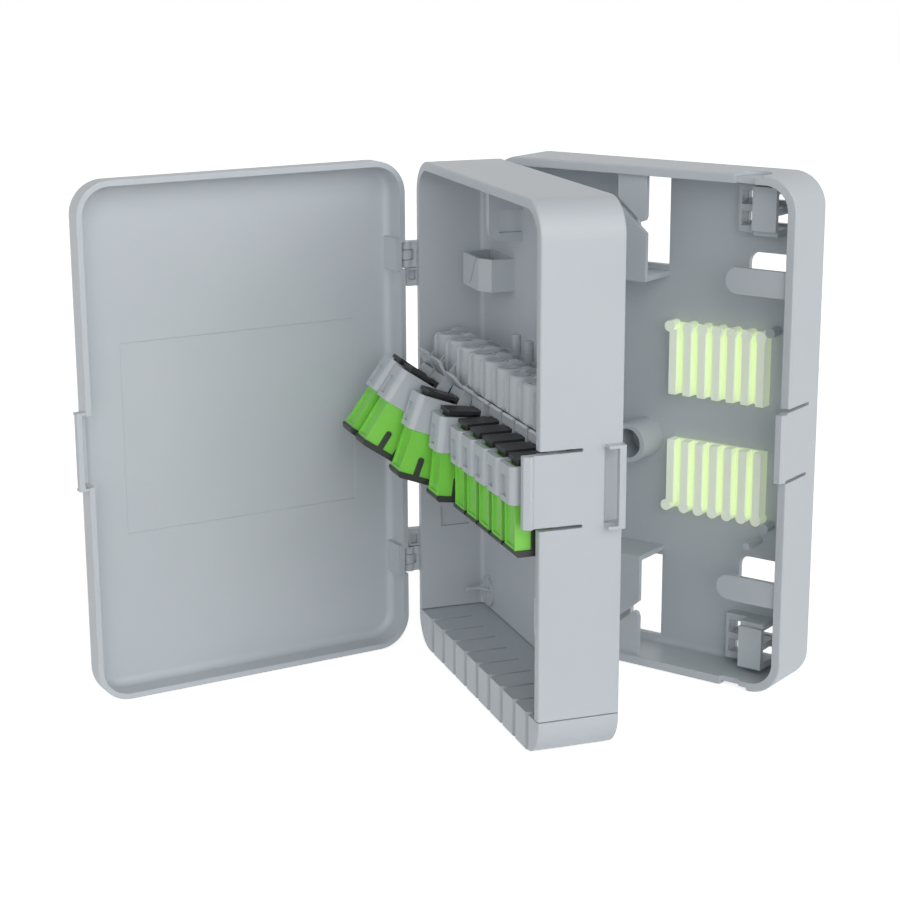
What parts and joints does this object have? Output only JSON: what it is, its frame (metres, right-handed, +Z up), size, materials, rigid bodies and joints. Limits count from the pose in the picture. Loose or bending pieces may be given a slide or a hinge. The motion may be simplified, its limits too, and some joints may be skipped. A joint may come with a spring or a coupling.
{
  "type": "fibre splitter module",
  "caption": "Wall box opening like a book: base tray with splice combs, swing-out middle leaf with a row of pivoting fibre adapters, and a shallow hinged cover",
  "frame": {"origin": "centre of the base's back face, on the wall", "axes": "+Z up, wall towards +Y, open side towards -Y, latch side towards +X"},
  "size_m": [0.2189, 0.1834, 0.2],
  "materials": {
    "body_plastic": "fine matt moulded",
    "holder_plastic": "smooth moulded",
    "adapter_plastic": "satin moulded",
    "clip_plastic": "satin moulded",
    "pin_metal": "drawn, plain"
  },
  "bodies": {
    "base": {"base_shell": "body_plastic", "splice_holder_upper": "holder_plastic", "splice_holder_lower": "holder_plastic", "frame_hinge_pin_upper": "pin_metal", "frame_hinge_pin_lower": "pin_metal"},
    "frame": {"swing_frame": "body_plastic", "cable_comb": "body_plastic", "pivot_rail": "body_plastic", "pivot_rod": "pin_metal", "cover_hinge_pin_upper": "pin_metal", "cover_hinge_pin_lower": "pin_metal", "rail_screw_1": "pin_metal", "rail_screw_2": "pin_metal", "rail_screw_3": "pin_metal", "rail_screw_4": "pin_metal"},
    "cover": {"front_cover": "body_plastic"},
    "module_1": {"holder_1": "body_plastic", "adapter_1": "adapter_plastic", "clip_1": "clip_plastic"},
    "module_2": {"holder_2": "body_plastic", "adapter_2": "adapter_plastic", "clip_2": "clip_plastic"},
    "module_3": {"holder_3": "body_plastic", "adapter_3": "adapter_plastic", "clip_3": "clip_plastic"},
    "module_4": {"holder_4": "body_plastic", "adapter_4": "adapter_plastic", "clip_4": "clip_plastic"},
    "module_5": {"holder_5": "body_plastic", "adapter_5": "adapter_plastic", "clip_5": "clip_plastic"},
    "module_6": {"holder_6": "body_plastic", "adapter_6": "adapter_plastic", "clip_6": "clip_plastic"},
    "module_7": {"holder_7": "body_plastic", "adapter_7": "adapter_plastic", "clip_7": "clip_plastic"},
    "module_8": {"holder_8": "body_plastic", "adapter_8": "adapter_plastic", "clip_8": "clip_plastic"},
    "module_9": {"holder_9": "body_plastic", "adapter_9": "adapter_plastic", "clip_9": "clip_plastic"}
  },
  "joints": [
    {"name": "frame_hinge", "type": "hinge", "parent": "base", "child": "frame", "pos_m": [-0.0695, -0.027, 0], "axis": [0, 0, 1], "range_deg": [-75, 35]},
    {"name": "cover_hinge", "type": "hinge", "parent": "frame", "child": "cover", "pos_m": [-0.08814, -0.05362, 0], "axis": [0, 0, 1], "range_deg": [-65, 79]},
    {"name": "module_1_swing", "type": "hinge", "parent": "frame", "child": "module_1", "pos_m": [-0.06252, -0.05069, 0.0305], "axis": [0.8192, -0.5736, 0], "range_deg": [-39, 36]},
    {"name": "module_2_swing", "type": "hinge", "parent": "frame", "child": "module_2", "pos_m": [-0.05159, -0.05834, 0.0305], "axis": [0.8192, -0.5736, 0], "range_deg": [-41, 34]},
    {"name": "module_3_swing", "type": "hinge", "parent": "frame", "child": "module_3", "pos_m": [-0.04065, -0.066, 0.0305], "axis": [0.8192, -0.5736, 0], "range_deg": [-55, 20]},
    {"name": "module_4_swing", "type": "hinge", "parent": "frame", "child": "module_4", "pos_m": [-0.02972, -0.07366, 0.0305], "axis": [0.8192, -0.5736, 0], "range_deg": [-68, 7]},
    {"name": "module_5_swing", "type": "hinge", "parent": "frame", "child": "module_5", "pos_m": [-0.01878, -0.08131, 0.0305], "axis": [0.8192, -0.5736, 0], "range_deg": [-75, 0]},
    {"name": "module_6_swing", "type": "hinge", "parent": "frame", "child": "module_6", "pos_m": [-0.00784, -0.08897, 0.0305], "axis": [0.8192, -0.5736, 0], "range_deg": [-75, 0]},
    {"name": "module_7_swing", "type": "hinge", "parent": "frame", "child": "module_7", "pos_m": [0.00309, -0.09663, 0.0305], "axis": [0.8192, -0.5736, 0], "range_deg": [-75, 0]},
    {"name": "module_8_swing", "type": "hinge", "parent": "frame", "child": "module_8", "pos_m": [0.01403, -0.10429, 0.0305], "axis": [0.8192, -0.5736, 0], "range_deg": [-75, 0]},
    {"name": "module_9_swing", "type": "hinge", "parent": "frame", "child": "module_9", "pos_m": [0.02496, -0.11194, 0.0305], "axis": [0.8192, -0.5736, 0], "range_deg": [-75, 0]}
  ],
  "couplings": [
    {"joint": "module_1_swing", "follows": "cover_hinge", "ratio": 0.4557},
    {"joint": "module_2_swing", "follows": "cover_hinge", "ratio": 0.43038},
    {"joint": "module_3_swing", "follows": "cover_hinge", "ratio": 0.25316},
    {"joint": "module_4_swing", "follows": "cover_hinge", "ratio": 0.088608}
  ]
}
